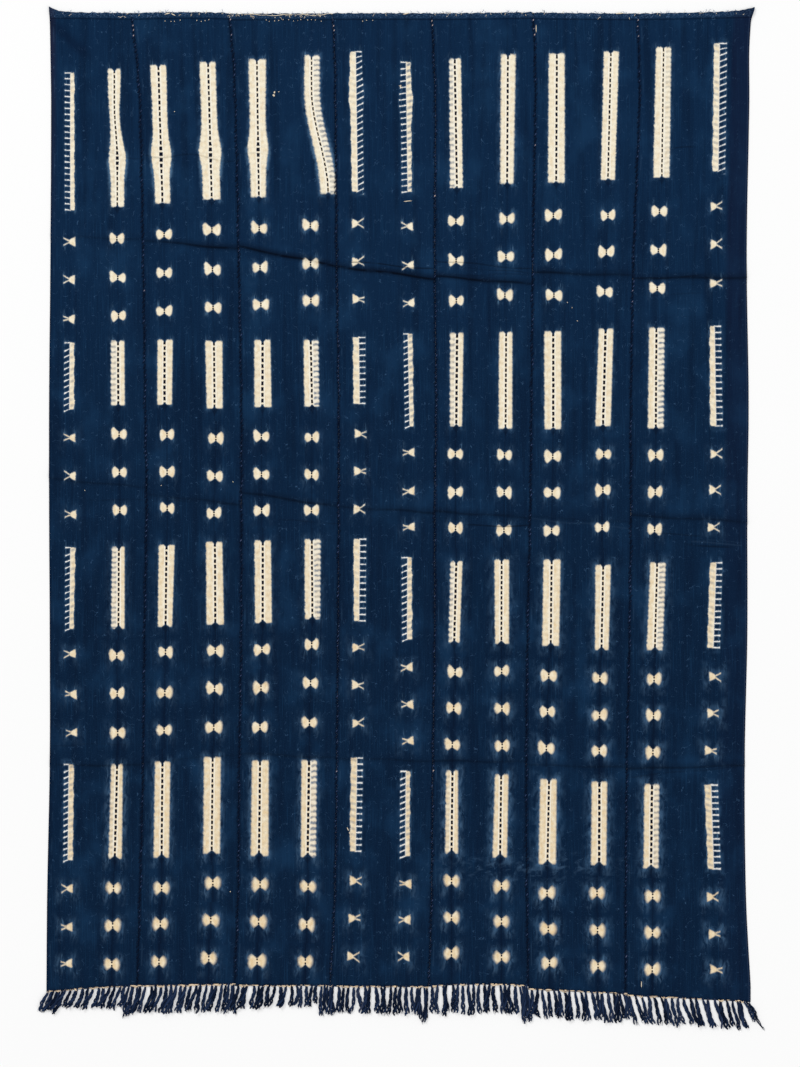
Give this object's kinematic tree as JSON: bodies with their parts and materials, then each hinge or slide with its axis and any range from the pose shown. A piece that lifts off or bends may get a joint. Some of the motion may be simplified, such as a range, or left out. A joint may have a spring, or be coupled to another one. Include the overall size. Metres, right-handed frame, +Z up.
{
  "type": "indigo dyed cloth",
  "caption": "Hand-woven strip cloth dyed with indigo, with stitch-resist bars and bow marks, a rolled top hem and a short tassel fringe, lying flat.",
  "frame": {"origin": "on the surface the cloth lies on, under the middle of the whole cloth and its tassels", "axes": "+X across the strips to the right as seen from above, +Y along the strips from the tassels to the rolled hem, +Z up out of the cloth's face"},
  "size_m": [1.0977, 1.557, 0.0055],
  "materials": {
    "indigo_cloth": "matte",
    "tassel_yarn": "matte"
  },
  "bodies": {
    "root": {"strip_1": "indigo_cloth", "strip_2": "indigo_cloth", "strip_3": "indigo_cloth", "strip_4": "indigo_cloth", "strip_5": "indigo_cloth", "strip_6": "indigo_cloth", "strip_7": "indigo_cloth", "fringe_1": "tassel_yarn", "fringe_2": "tassel_yarn", "fringe_3": "tassel_yarn", "fringe_4": "tassel_yarn", "fringe_5": "tassel_yarn", "fringe_6": "tassel_yarn", "fringe_7": "tassel_yarn"}
  },
  "joints": []
}
